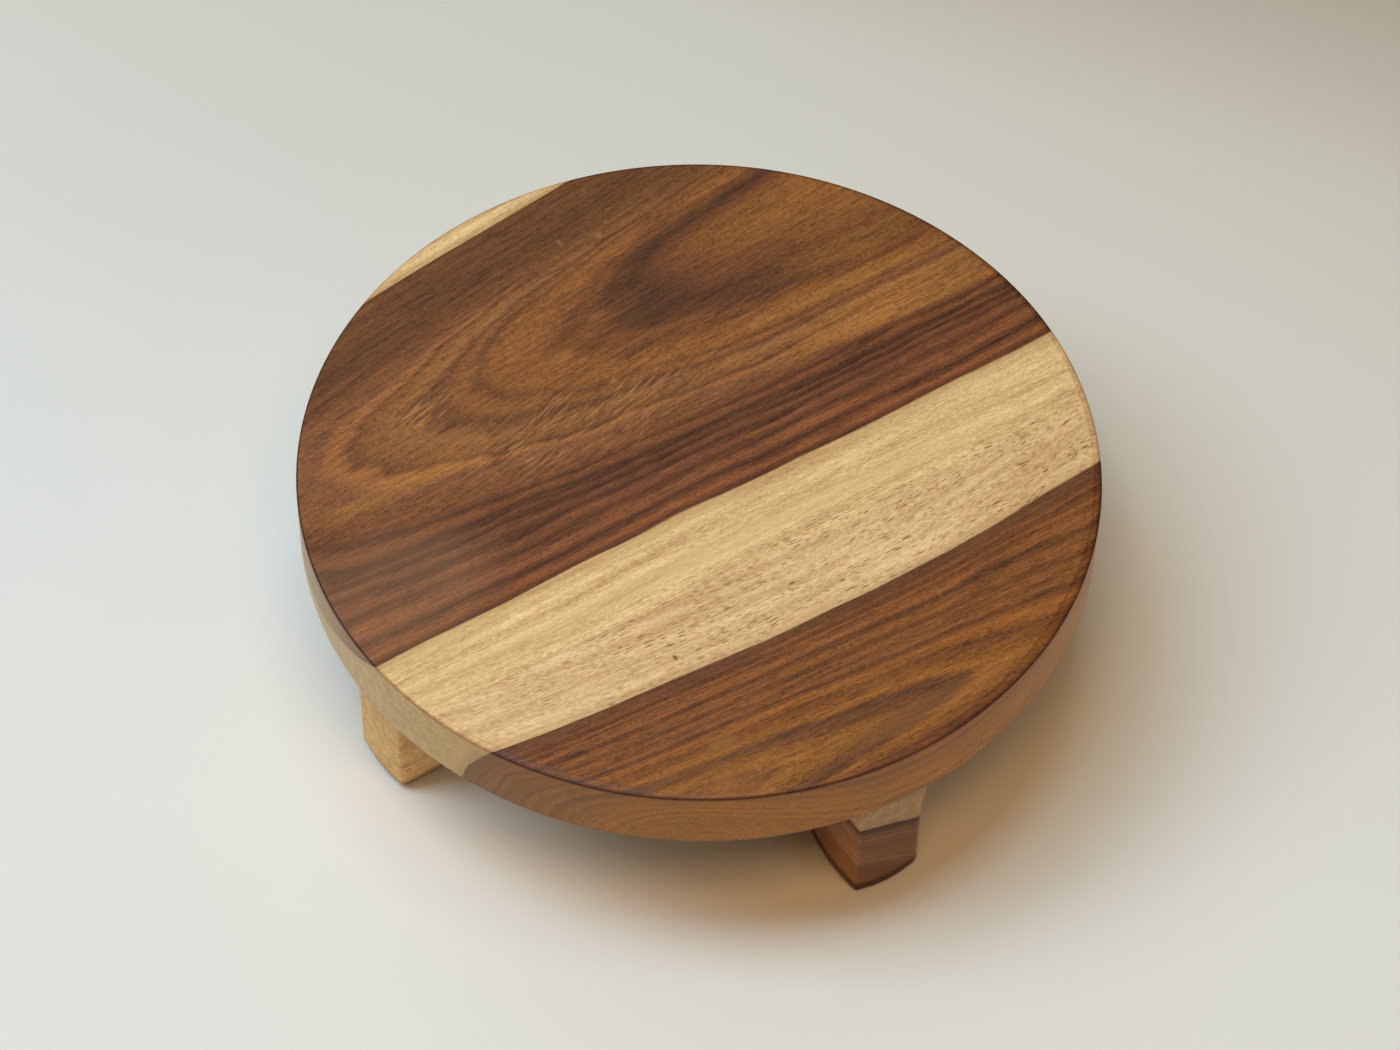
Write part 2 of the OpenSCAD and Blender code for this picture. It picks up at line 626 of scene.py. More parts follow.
    def _sapwood(self, trunk: Trunk, fine: Node, speckle: Node) -> Node:
        """Colour the sapwood, with dashes of open pores on one side.

        Args:
            trunk: where each point lies in the wood.
            fine: short streaks.
            speckle: the vessels.

        Returns:
            The node that holds the colour.
        """
        add = trunk.recipe.add
        tone = add("Math.MULTIPLY_ADD", fine, 0.7, BROAD_STREAKS.grow(trunk))
        tone = add("Math.MULTIPLY_ADD", speckle, 1.0, tone)
        base = add("ValToRGB", add("MapRange", tone, 0.3, 2.1, 0.0, 1.0),
                   stops=[(0.0, linear(self.sapwood.deep)), (1.0, linear(self.sapwood.pale))])
        # The sapwood beside the heartwood is a little darker.
        edge = self.sap_edge
        beside = add("MapRange.SMOOTHSTEP", trunk.radius, edge + 0.4, edge + 3.4, 0.42, 0.0)
        base = add("Mix.RGBA", beside, base, linear(self.sapwood.deep))
        large, small = LARGE_PORES.grow(trunk), SMALL_PORES.grow(trunk)
        dashes = add("Math.MULTIPLY_ADD", small, 0.7, large, use_clamp=True)
        # Here and there the pores are closed, in patches about 16 mm long and 5 mm wide.
        gaps = add("VectorMath.MULTIPLY", trunk.fibre, (1 / 16, 1 / 5, 1 / 5))
        gaps = add("TexNoise", gaps, 1.0, 2.0, 0.5)
        gaps = add("MapRange.SMOOTHSTEP", gaps, 0.38, 0.56, 0.15, 1.0)
        limit = self.sapwood.open_up_to
        zone = add("MapRange.SMOOTHSTEP", trunk.across, limit - 3, limit + 4, 1.0, 0.14)
        # Towards the left the pores are better filled with oil and dust.
        filled = add("MapRange", trunk.along, -100.0, -45.0, 0.30, 0.85)
        for share in (gaps, zone, filled):
            dashes = add("Math.MULTIPLY", dashes, share)
        return add("Mix.RGBA", dashes, base, linear(self.sapwood.pore))

    def _torn_grain(self, trunk: Trunk, wood: Node, relief: Node) -> tuple[Node, Node]:
        """Where the grain rises and falls, the plane left slantwise ripples, with painted highlights and
        painted shade.

        Args:
            trunk: where each point lies in the wood.
            wood: the colour so far.
            relief: the height so far.

        Returns:
            The colour and the height with the ripples.
        """
        add = trunk.recipe.add
        # The first patch is torn right through, the others only here and there.
        patches = add("VectorMath.MULTIPLY", trunk.fibre, (1 / 22, 1 / 9, 1 / 30))
        patches = add("TexNoise", patches, 1.0, 1.0, 0.5)
        patches = add("MapRange.SMOOTHSTEP", patches, 0.40, 0.54, 0.12, 1.0)
        zone = self.torn[0].cover(trunk)
        for patch in self.torn[1:]:
            part = add("Math.MULTIPLY", patch.cover(trunk), patches)
            zone = add("Math.MAXIMUM", zone, part)
        slant = math.radians(self.ripple_slant)
        ripples = add("VectorRotate.Z_AXIS", trunk.fibre, None, slant)
        ripples = add("VectorMath.MULTIPLY", ripples, tuple(1 / size for size in self.ripple))
        ripples = add("TexNoise", ripples, 1.0, 1.5, 0.5)
        # Each painted tone, shade and highlight, begins at one height of the ripples, is full at another,
        # and has its strength.
        for start, full, strength, tone in ((0.46, 0.34, 0.62, self.torn_painted_shade),
                                            (0.57, 0.67, 0.52, self.torn_painted_highlight)):
            part = add("MapRange.SMOOTHSTEP", ripples, start, full, 0.0, strength)
            part = add("Math.MULTIPLY", part, zone)
            wood = add("Mix.RGBA", part, wood, linear(tone))
        raised = add("Math.MULTIPLY", ripples, zone)
        return wood, add("Math.MULTIPLY_ADD", raised, 1.2, relief)

    def _glue_line(self, recipe: Recipe, wood: Node) -> Node:
        """Darken a hair's breadth beside the glued seam.

        Args:
            recipe: the tree to build in.
            wood: the colour so far.

        Returns:
            The colour with its share of the glue line.
        """
        add = recipe.add
        place = add("SeparateXYZ", add("TexCoord").outputs["Object"])
        gap = add("Math.ADD", place.outputs["Y"], -self.seam)
        gap = add("Math.ABSOLUTE", gap)
        cover = add("MapRange.SMOOTHSTEP", gap, 0.05 * MM, 0.3 * MM, 0.12, 0.0)
        return add("Mix.RGBA", cover, wood, linear(self.glue_tone))

    def _stand_up(self, recipe: Recipe, wood: Node, border: Node) -> tuple[Node, Node]:
        """Change what stands upright: less oil and more dust on the sides, painted light that brightens
        them, and more oil in the end grain, with painted shade on the feet.

        Args:
            recipe: the tree to build in.
            wood: the colour so far.
            border: 0 in heartwood, 1 in sapwood.

        Returns:
            The colour with its upright faces, and how much raised fibre pales them where they turn away.
        """
        add = recipe.add
        normal = add("TexCoord").outputs["Normal"]
        if self.growth.turn:
            normal = add("VectorRotate.Z_AXIS", normal, None, -self.growth.turn)
        facing = add("SeparateXYZ", normal)
        up = add("Math.ABSOLUTE", facing.outputs["Z"])
        upright = add("MapRange.SMOOTHSTEP", up, 0.85, 0.35, 0.0, 1.0)
        end = add("Math.MULTIPLY", facing.outputs["X"], facing.outputs["X"])

        gain = add("Mix.RGBA", border, (*self.upright, 1.0), (*self.upright_sap, 1.0))
        side = add("VectorMath.MULTIPLY", wood, gain)
        dust = add("Mix.RGBA", border, linear(self.dust_heart), linear(self.dust_sap))
        side = add("Mix.RGBA", self.dust, side, dust)
        gain = add("Mix.RGBA", border, (*self.end_heart, 1.0), (*self.end_sap, 1.0))
        cut = add("VectorMath.MULTIPLY", side, gain)
        side = add("Mix.RGBA", end, side, cut)
        fuzz = add("Math.MULTIPLY", upright, self.fuzz)
        return add("Mix.RGBA", upright, wood, side), fuzz

    def _darken_edges(self, recipe: Recipe, wood: Node, border: Node) -> Node:
        """Darken the eased edges: lines round the rolling face, painted shade under the board and at the
        feet's bases.

        Args:
            recipe: the tree to build in.
            wood: the colour so far.
            border: 0 in heartwood, 1 in sapwood.

        Returns:
            The colour with its darkened edges and painted shade.
        """
        add = recipe.add
        darkening = add("Attribute", attribute_name=DARK_EDGES).outputs["Fac"]
        depth = add("Mix.RGBA", border, linear(self.dark_edge_heart), linear(self.dark_edge_sap))
        depth = next(s for s in depth.outputs if s.enabled)
        dark = add("Mix.RGBA", 1.0, wood, depth, blend_type="MULTIPLY")
        return add("Mix.RGBA", darkening, wood, dark)


@dataclass(frozen=True)
class TurnedBeech:
    """Beech dowel rod, turned and left bare: an even pinkish straw with short brown flecks."""

    name: str = "beech dowel rod, turned, unfinished"
    dark: str = "#cfae80"
    pale: str = "#e3c89c"
    fleck: str = "#a97c4d"

    def make(self) -> Material:
        """Build the material.

        Returns:
            The beech.
        """
        material = bpy.data.materials.new(self.name)
        material.use_nodes = True
        recipe = Recipe(material.node_tree)
        add = recipe.add
        place = add("VectorMath.SCALE", add("TexCoord").outputs["Object"], 1 / MM)
        fibres = add("VectorMath.MULTIPLY", place, (1 / 0.7, 1 / 0.7, 1 / 14))
        fibres = add("TexNoise", fibres, 1.0, 3.0, 0.6)
        base = add("ValToRGB", fibres, stops=[(0.3, linear(self.dark)), (0.7, linear(self.pale))])
        # The flecks are the wood rays, 2 mm long and 0.3 mm wide.
        rays = add("VectorMath.MULTIPLY", place, (1 / 0.9, 1 / 0.9, 1 / 3.2))
        rays = add("TexVoronoi", rays, 1.0)
        rays = add("MapRange", rays, 0.16, 0.3, 0.6, 0.0)
        base = add("Mix.RGBA", rays, base, linear(self.fleck))
        bump = add("Bump", 0.2, 0.0001, named={"Height": fibres})
        shader = add("BsdfPrincipled", named={
            "Base Color": base, "Roughness": 0.6, "IOR": 1.5, "Normal": bump,
        })
        add("OutputMaterial", shader)
        return material


@dataclass(frozen=True)
class PaperSweep:
    """Matt pale paper under the board, painted warmer and greyer far behind it as shade where less light
    falls.
    """

    name: str = "matt background paper"
    near: str = "#e8eae5"
    middle: str = "#dad7ca"
    far: str = "#bfb3a3"
    # Where the first tone ends and the last begins, in metres from the board towards the back right.
    near_reach: float = -0.024
    far_reach: float = 0.36
    # The middle tone's place between them.
    middle_share: float = 0.725
    # The way in plan along which the painted shade darkens the paper.
    heading: Triple = (0.79, 0.62, 0.0)

    def make(self) -> Material:
        """Build the material.

        Returns:
            The paper.
        """
        material = bpy.data.materials.new(self.name)
        material.use_nodes = True
        recipe = Recipe(material.node_tree)
        add = recipe.add
        place = add("TexCoord").outputs["Object"]
        reach = add("VectorMath.DOT_PRODUCT", place, self.heading).outputs["Value"]
        reach = add("MapRange", reach, self.near_reach, self.far_reach, 0.0, 1.0)
        tone = add("ValToRGB", reach, stops=[
            (0.0, linear(self.near)), (self.middle_share, linear(self.middle)), (1.0, linear(self.far)),
        ])
        # Paper tooth is about 0.3 mm; it is too fine to show and only breaks up the sheen.
        tooth = add("TexNoise", add("VectorMath.SCALE", place, 1 / MM), 3.0, 2.0, 0.5)
        bump = add("Bump", 0.05, 0.00005, named={"Height": tooth})
        shader = add("BsdfPrincipled", named={
            "Base Color": tone, "Roughness": 0.9, "IOR": 1.45, "Specular IOR Level": 0.1, "Normal": bump,
        })
        add("OutputMaterial", shader)
        return material


def piece(name: str, shape: BMesh, wood: Material) -> Object:
    """Turn a finished shape into an object with its wood.

    Args:
        name: the piece's name.
        shape: the shape, which is used up.
        wood: the material it takes.

    Returns:
        The object, linked into the scene.
    """
    bmesh.ops.recalc_face_normals(shape, faces=shape.faces)
    mesh = bpy.data.meshes.new(name)
    shape.to_mesh(mesh)
    shape.free()
    mesh.shade_smooth()
    mesh.set_sharp_from_angle(angle=math.radians(SHARP_FROM))
    mesh.materials.append(wood)
    made = bpy.data.objects.new(name, mesh)
    bpy.context.scene.collection.objects.link(made)
    return made


def loft(shape: BMesh, rings: list[list[BMVert]], closed: bool) -> None:
    """Join rings of the same number of points with faces.

    Args:
        shape: the shape to add to.
        rings: the rings in order.
        closed: whether the last point of a ring joins its first.
    """
    for upper, lower in zip(rings, rings[1:]):
        count = len(upper)
        for i in range(count if closed else count - 1):
            j = (i + 1) % count
            shape.faces.new((upper[i], upper[j], lower[j], lower[i]))


def cap(shape: BMesh, loops: list[list[BMVert]], facing: int) -> None:
    """Close a level face that has holes in it.

    Args:
        shape: the shape to add to.
        loops: the outline of the face and of each hole.
        facing: 1 if the face looks up and -1 if it looks down.
    """
    edges = []
    for loop in loops:
        for first, second in zip(loop, loop[1:] + loop[:1]):
            edges.append(shape.edges.get((first, second)) or shape.edges.new((first, second)))
    bmesh.ops.triangle_fill(shape, use_beauty=True, edges=edges, normal=(0, 0, facing))


@dataclass
class DowelHole:
    """A blind hole for a dowel."""

    radius: float = 5.05 * MM
    from_centre: float = FOOT_CENTRE
    in_plank: float = 10.8 * MM
    in_foot: float = 20.8 * MM
    steps: int = 32

    def centre(self, side: Side) -> Vector:
        """The hole's place in plan."""
        return in_plan(side.angle) * self.from_centre

    def sink(self, shape: BMesh, side: Side, mouth: float, end: float) -> list[BMVert]:
        """Add the wall and the end of a hole to a shape.

        Args:
            shape: the shape to add to.
            side: which foot the hole belongs to.
            mouth: height of the open end.
            end: height of the closed end.

        Returns:
            The points round the open end.
        """
        rings = []
        wall = [in_plan(2 * math.pi * i / self.steps) * self.radius for i in range(self.steps)]
        for height in (mouth, end):
            rings.append([shape.verts.new(self.centre(side) + p + Vector((0, 0, height))) for p in wall])
        loft(shape, rings, closed=True)
        shape.faces.new(rings[1])
        return rings[0]


@dataclass
class Plank:
    """One plank of the round board, on one side of the glued seam."""

    name: str
    node: str
    slot: str
    wood: OiledSheesham
    sides: tuple[Side, ...]
    towards_back: bool
    steps: int


@dataclass
class RoundBoard:
    """The round board: two planks glued edge to edge, sawn round and sanded by hand."""

    radius: float = 124.86 * MM
    top: float = ROLLING_FACE
    underside: float = UNDERSIDE
    seam: float = SEAM
    under_edge: float = 0.8 * MM
    arris: float = 0.55 * MM
    hole: DowelHole = field(default_factory=DowelHole)
    # Width of the sanded bevel round the rolling face, in mm, by the angle from the grain in degrees.
    bevels: tuple[tuple[float, float], ...] = (
        (0, 1.8), (50, 1.1), (110, 0.8), (168, 0.8), (196, 0.9), (211, 2.5), (228, 2.8),
        (240, 1.1), (254, 1.1), (272, 2.8), (300, 3.2), (322, 2.4), (360, 1.8),
    )

    def bevel(self, angle: float) -> float:
        """The width of the bevel where the hand pressed more or less.

        Args:
            angle: the place round the rim in radians.

        Returns:
            The width in metres.
        """
        turn = math.degrees(angle) % 360
        for (start, first), (end, second) in zip(self.bevels, self.bevels[1:]):
            if start <= turn <= end:
                return (first + (second - first) * smooth(turn, start, end)) * MM
        return self.bevels[0][1] * MM

    def rim(self, angle: float) -> float:
        """The radius of the rim, which a saw and a belt sander never leave quite round."""
        wave = 0.07 * math.sin(3 * angle + 0.6) + 0.04 * math.sin(7 * angle + 2.0)
        return self.radius + wave * MM

    def profile(self, angle: float) -> list[tuple[float, float, float]]:
        """The section of the rim at one place.

        Args:
            angle: the place round the rim in radians.

        Returns:
            Points from the rolling face to the underside: inset from the rim, height, edge darkness.
        """
        width = self.bevel(angle)
        drop = 0.10 * MM + 0.13 * width
        # Only where the bevel is wide is its inner line darkened.
        inner = 0.75 * smooth(width, 1.0 * MM, 2.2 * MM)
        points = [
            (width + 0.60 * MM, self.top, 0.0),
            (width + 0.16 * MM, self.top, 0.0),
            (width, self.top - 0.04 * MM, inner),
            (width - 0.18 * MM, self.top - 0.07 * MM, 0.15 + 0.2 * inner),
            ((width - 0.18 * MM + self.arris) / 2, self.top - drop / 2, 0.22),
        ]
        # The rounded arris outside the bevel, the upright rim, and the eased edge under it.
        for turn, darkening in ((0, 0.7), (22, 1.0), (45, 1.0), (68, 1.0), (90, 0.9)):
            inset = self.arris * (1 - math.sin(math.radians(turn)))
            fall = self.arris * (1 - math.cos(math.radians(turn)))
            points.append((inset, self.top - drop - fall, darkening))
        low = self.top - drop - self.arris
        points += [(0.0, low - 0.35 * MM, 0.4), (0.0, low - 0.8 * MM, 0.0)]
        # The eased edge under the board is darkened as painted shade.
        knee = self.underside + self.under_edge
        points += [(0.0, knee + 0.5 * MM, 0.0), (0.0, knee + 0.1 * MM, 0.35)]
        for turn, darkening in ((20, 0.7), (45, 0.85), (70, 0.8), (90, 0.5)):
            inset = self.under_edge * (1 - math.cos(math.radians(turn)))
            fall = self.under_edge * math.sin(math.radians(turn))
            points.append((inset, knee - fall, darkening))
        points.append((self.under_edge + 0.6 * MM, self.underside, 0.0))
        return points

    def seam_angle(self, level: int, right: bool) -> float:
        """The angle at which one ring of the section meets the seam.

        Args:
            level: the number of the ring.
            right: whether the right-hand meeting is wanted.

        Returns:
            The angle in radians.
        """
        angle = 0.0 if right else math.pi
        for _ in range(12):
            reach = self.rim(angle) - self.profile(angle)[level][0]
            lean = math.asin(self.seam / reach)
            angle = lean if right else math.pi - lean
        return angle

    def ring(self, shape: BMesh, level: int, plank: Plank) -> list[BMVert]:
        """Add the points of one ring of a plank.

        Args:
            shape: the shape to add to.
            level: the number of the ring.
            plank: the plank it belongs to.

        Returns:
            The points, of which the first and the last lie on the seam.
        """
        darkening = shape.verts.layers.float[DARK_EDGES]
        right, left = self.seam_angle(level, True), self.seam_angle(level, False)
        start, end = (right, left) if plank.towards_back else (left, right + 2 * math.pi)
        points = []
        for i in range(plank.steps + 1):
            angle = start + (end - start) * i / plank.steps
            inset, height, edge_darkness = self.profile(angle)[level]
            reach = self.rim(angle) - inset
            point = shape.verts.new((reach * math.cos(angle), reach * math.sin(angle), height))
            point[darkening] = edge_darkness
            points.append(point)
        for end_point in (points[0], points[-1]):
            end_point.co.y = self.seam
        return points

    def build(self, plank: Plank) -> Object:
        """Build one plank and dress it.

        Args:
            plank: the plank to build.

        Returns:
            The finished piece.
        """
        shape = bmesh.new()
        shape.verts.layers.float.new(DARK_EDGES)
        levels = len(self.profile(0.0))
        rings = [self.ring(shape, level, plank) for level in range(levels)]
        loft(shape, rings, closed=False)
        shape.faces.new(rings[0])
        shape.faces.new([r[0] for r in rings] + [r[-1] for r in reversed(rings)])
        end = self.underside + self.hole.in_plank
        mouths = [self.hole.sink(shape, side, self.underside, end) for side in plank.sides]
        cap(shape, [rings[-1], *mouths], -1)
        made = piece(plank.name, shape, plank.wood.make())
        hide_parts(plank.node)
        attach(made, BODY)
        return made


@dataclass
class Foot:
    """One block foot, sawn square, with its corners and its base eased by hand."""

    side: Side
    wood: OiledSheesham
    width: float = 24 * MM
    depth: float = 28 * MM
    height: float = UNDERSIDE
    centre: float = FOOT_CENTRE
    # Radius of each upright corner, in turn from the outer one.
    corners: tuple[float, float, float, float] = (2.0 * MM, 2.0 * MM, 2.0 * MM, 2.0 * MM)
    base: float = 2.5 * MM
    # Height of a band of painted shade that darkens the foot just above its eased base.
    shade_band: float = 0.0
    # How far the sanded faces swell in their middle, at the base.
    belly: float = 0.4 * MM
    # Height over which the roundings of the corners run out, just under the board.
    run_out: float = 28 * MM
    # Nobody glues four feet on quite true: a turn in degrees and a shift towards the centre.
    twist: float = 0.0
    shift: float = 0.0
    corner_steps: int = 7
    side_steps: int = 4
    hole: DowelHole = field(default_factory=DowelHole)

    def outline(self, inset: float, rounding: float, swell: float) -> list[Vector]:
        """The outline of the block at one height, about its own axis.

        Args:
            inset: how far the faces stand in from the block's full size.
            rounding: the share of their radius that the corners have here.
            swell: how far the faces stand out in their middle.

        Returns:
            The points in order round the block.
        """
        half = Vector((self.depth / 2 - inset, self.width / 2 - inset))
        arcs = []
        for quarter, (sx, sy) in enumerate(((1, 1), (-1, 1), (-1, -1), (1, -1))):
            corner = self.corners[quarter] * rounding
            middle = Vector((sx * (half.x - corner), sy * (half.y - corner)))
            turns = [(quarter + i / self.corner_steps) * math.pi / 2 for i in range(self.corner_steps + 1)]
            arcs.append([middle + Vector((math.cos(t), math.sin(t))) * corner for t in turns])
        points = []
        for arc, following in zip(arcs, arcs[1:] + arcs[:1]):
            points += arc
            edge = following[0] - arc[-1]
            outwards = Vector((edge.y, -edge.x)).normalized()
            for i in range(1, self.side_steps):
                share = i / self.side_steps
                bow = 4 * share * (1 - share) * swell
                points.append(arc[-1] + edge * share + outwards * bow)
        return points

    def levels(self) -> list[tuple[float, float, float, float]]:
        """The heights at which the outline of the block is drawn.

        Returns:
            From the base up: height, inset, share of the corner radius, edge darkness.
        """
        made = [(0.0, self.base + 0.6 * MM, 1.0, 0.6)]
        # Painted shade darkens the whole base rounding of a foot with a shade band; on the others it fades
        # upwards.
        for turn in (0, 18, 36, 54, 72, 90):
            lean = math.radians(90 - turn)
            darkening = 1.0 if self.shade_band else smooth(turn, 125, 55)
            made.append((self.base * (1 - math.sin(lean)), self.base * (1 - math.cos(lean)), 1.0, darkening))
        if self.shade_band:
            made.append((self.base + self.shade_band, 0.0, 1.0, 0.9))
        start = self.height - self.run_out
        made += [(self.base + self.shade_band + 1.2 * MM, 0.0, 1.0, 0.0), (start, 0.0, 1.0, 0.0)]
        for share in (0.12, 0.24, 0.36, 0.48, 0.6, 1.0):
            made.append((start + self.run_out * share, 0.0, 1 - 0.88 * smooth(share, 0.0, 0.6), 0.0))
        return made

    def build(self) -> Object:
        """Build the foot and dress it.

        Returns:
            The finished piece.
        """
        shape = bmesh.new()
        darkening = shape.verts.layers.float.new(DARK_EDGES)
        place = Matrix.Translation((self.centre - self.shift, 0.0, 0.0))
        place = Matrix.Rotation(self.side.angle, 4, "Z") @ place
        place = place @ Matrix.Rotation(math.radians(self.twist), 4, "Z")
        rings = []
        for height, inset, rounding, edge_darkness in self.levels():
            ring = []
            for point in self.outline(inset, rounding, self.belly * (1 - height / self.height)):
                made = shape.verts.new(place @ Vector((point.x, point.y, height)))
                made[darkening] = edge_darkness
                ring.append(made)
            rings.append(ring)
        loft(shape, rings, closed=True)
        shape.faces.new(rings[0])
        mouth = self.hole.sink(shape, self.side, self.height, self.height - self.hole.in_foot)
        cap(shape, [rings[-1], mouth], 1)
        made = piece(f"block_foot_{self.side.word}", shape, self.wood.make())
        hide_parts(f"foot_{self.side.word}")
        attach(made, BODY)
        return made


@dataclass
class Dowels:
    """The four dowels inside the feet, which keep their CAD shape."""

    wood: TurnedBeech = TurnedBeech()

    def dress(self) -> list[Object]:
        """Give the dowels their wood.

        Returns:
            The dressed pieces.
        """
        beech = self.wood.make()
        dressed = []
        for side in Side:
            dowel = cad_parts[f"dowel_{side.word}"]
            dowel.data.materials.clear()
            dowel.data.materials.append(beech)
            dressed.append(dowel)
        return dressed


@dataclass
class Lamp:
    """A soft box: where it stands, how large it is and what it gives. Its angles are degrees."""

    name: str
    azimuth: float
    elevation: float
    distance: float
    size: tuple[float, float]
    # What a white rolling face gives back of this lamp, in red, green and blue. All the lamps and the
    # surround come to about 1 together.
    share: Triple

    def hang(self, target: Vector) -> Object:
        """Hang the lamp so that it faces the board.

        Args:
            target: the point it faces.

        Returns:
            The lamp.
        """
        light = bpy.data.lights.new(self.name, "AREA")
        light.shape = "RECTANGLE"
        light.size, light.size_y = self.size
        rise = math.radians(self.elevation)
        strongest = max(self.share)
        light.color = [part / strongest for part in self.share]
        # A level white face sends back power * sin(rise) / (pi * distance) squared.
        light.energy = strongest * (math.pi * self.distance) ** 2 / math.sin(rise)
        lamp = bpy.data.objects.new(self.name, light)
        way = towards(math.radians(self.azimuth), rise)
        lamp.location = target + way * self.distance
        lamp.rotation_mode = "QUATERNION"
        lamp.rotation_quaternion = way.to_track_quat("Z", "Y")
        bpy.context.scene.collection.objects.link(lamp)
        return lamp


@dataclass
class Viewpoint:
    """The camera as the photograph's round edges fix it. Angles are degrees, lens and sensor mm."""

    azimuth: float = -31.74
    elevation: float = 52.70
    roll: float = 1.38
    distance: float = 1.409
    lens: float = 116.85
    sensor: float = 36.0
    image_width: float = 1400.0
    # The middle of the rolling face stands this many pixels right of and above the picture's middle.
    offset: tuple[float, float] = (-0.2, 60.9)

    def place(self, target: Vector) -> Object:
        """Make the scene's camera.

        Args:
            target: the middle of the rolling face.

        Returns:
            The camera.
        """
        turn, rise, roll = (math.radians(a) for a in (self.azimuth, self.elevation, self.roll))
        back = towards(turn, rise)
        level = in_plan(turn)
        upright = back.cross(level)
        right = level * math.cos(roll) + upright * math.sin(roll)
        up = upright * math.cos(roll) - level * math.sin(roll)
        per_pixel = self.distance * self.sensor / (self.lens * self.image_width)
        slide = right * self.offset[0] + up * self.offset[1]
        where = target + back * self.distance - slide * per_pixel
        data = bpy.data.cameras.new("camera")
        data.sensor_width = self.sensor
        data.lens = self.lens
        data.clip_start, data.clip_end = 0.05, 50.0
        camera = bpy.data.objects.new("camera", data)
        axes = Matrix((right, up, back)).transposed()
        camera.matrix_world = Matrix.Translation(where) @ axes.to_4x4()
        bpy.context.scene.collection.objects.link(camera)
        bpy.context.scene.camera = camera
        return camera


@dataclass
class Studio:
    """A pale paper floor under five soft boxes and a faint light from all round.

    The cool ones stand on the left, behind and overhead, the warm ones in front and low on the right.
    """

    paper: PaperSweep = PaperSweep()
    reach: float = 9.0
    target: Vector = field(default_factory=lambda: Vector((0.0, 0.0, ROLLING_FACE)))
    viewpoint: Viewpoint = field(default_factory=Viewpoint)
    surround_tone: str = "#fff3e6"
    surround: float = 0.03
    backdrop_tone: str = "#d4d4cd"
    lamps: tuple[Lamp, ...] = (
        Lamp("soft_key", -117.4, 57.0, 2.2, (0.84, 1.68), (0.370, 0.455, 0.533)),
        Lamp("window_behind", -179.5, 54.0, 2.2, (1.60, 1.60), (0.095, 0.112, 0.130)),
        Lamp("overhead", -78.3, 86.0, 2.2, (0.46, 1.22), (0.170, 0.210, 0.220)),
        Lamp("warm_front", -25.2, 64.0, 2.2, (1.07, 0.61), (0.290, 0.160, 0.062)),
        Lamp("warm_right", 23.3, 15.0, 2.4, (1.2, 0.8), (0.045, 0.038, 0.030)),
    )

    def build(self) -> list[Object]:
        """Lay the floor, light the scene and place the camera.

        Returns:
            The objects made.
        """
        shape = bmesh.new()
        bmesh.ops.create_grid(shape, x_segments=2, y_segments=2, size=self.reach)
        floor = piece("paper_floor", shape, self.paper.make())
        self._surround()
        lamps = [lamp.hang(self.target) for lamp in self.lamps]
        camera = self.viewpoint.place(self.target)
        bpy.context.scene.view_settings.view_transform = "Standard"
        return [floor, *lamps, camera]

    def _surround(self) -> None:
        """Light from all round, which looks like pale paper where it is seen."""
        world = bpy.data.worlds.new("studio")
        world.use_nodes = True
        bpy.context.scene.world = world
        recipe = Recipe(world.node_tree)
        add = recipe.add
        light = add("Background", linear(self.surround_tone), self.surround)
        paper = add("Background", linear(self.backdrop_tone), 1.0)
        path = add("LightPath").outputs
        add("OutputWorld", add("MixShader", path["Is Camera Ray"], light, paper))


# The wide plank: flat-sawn with the pith above the face, so the rings make long arches on it.
BACK_GROWTH = Growth(
    pith=Line(69.0, 0.13),
    near_edge=Line(-13.9, 0.033),
    far_edge=Line(119.1, 0.143, -0.00024),
    half_width=82.7,
    pith_height=106.0,
    pith_dip=0.083,
    upper_face=ROLLING_FACE / MM,
    pith_bend=0.00036,
    seed=3.1,
)
BACK_RINGS = growth_rings(
    (96.0, "#946235"), (101.4, "#8f5e32"), (102.6, "#855830"), (103.4, "#784b2c"), (104.2, "#67412a"),
    (104.8, "#573724"), (105.7, "#5a3a25"), (106.3, "#784c2c"), (107.0, "#74492a"), (107.8, "#8d5b33"),
    (109.2, "#8b5a32"), (109.7, "#734a2c"), (110.2, "#8f5d36"), (111.0, "#6f482e"), (111.8, "#8c5f3b"),
    (113.2, "#8a5c37"), (113.6, "#744a2e"), (114.1, "#98653c"), (114.8, "#80543a"), (116.2, "#7e5232"),
    (117.4, "#7b4d30"), (118.3, "#563521"), (119.3, "#7f4f30"), (120.3, "#51311f"), (121.4, "#663f28"),
    (122.2, "#553320"), (122.9, "#6b432b"), (123.8, "#54321f"), (125.0, "#7c4d32"), (126.6, "#583521"),
    (128.4, "#885536"), (130.4, "#563320"), (132.4, "#895535"), (133.5, "#623a26"), (134.4, "#5f3824"),
)
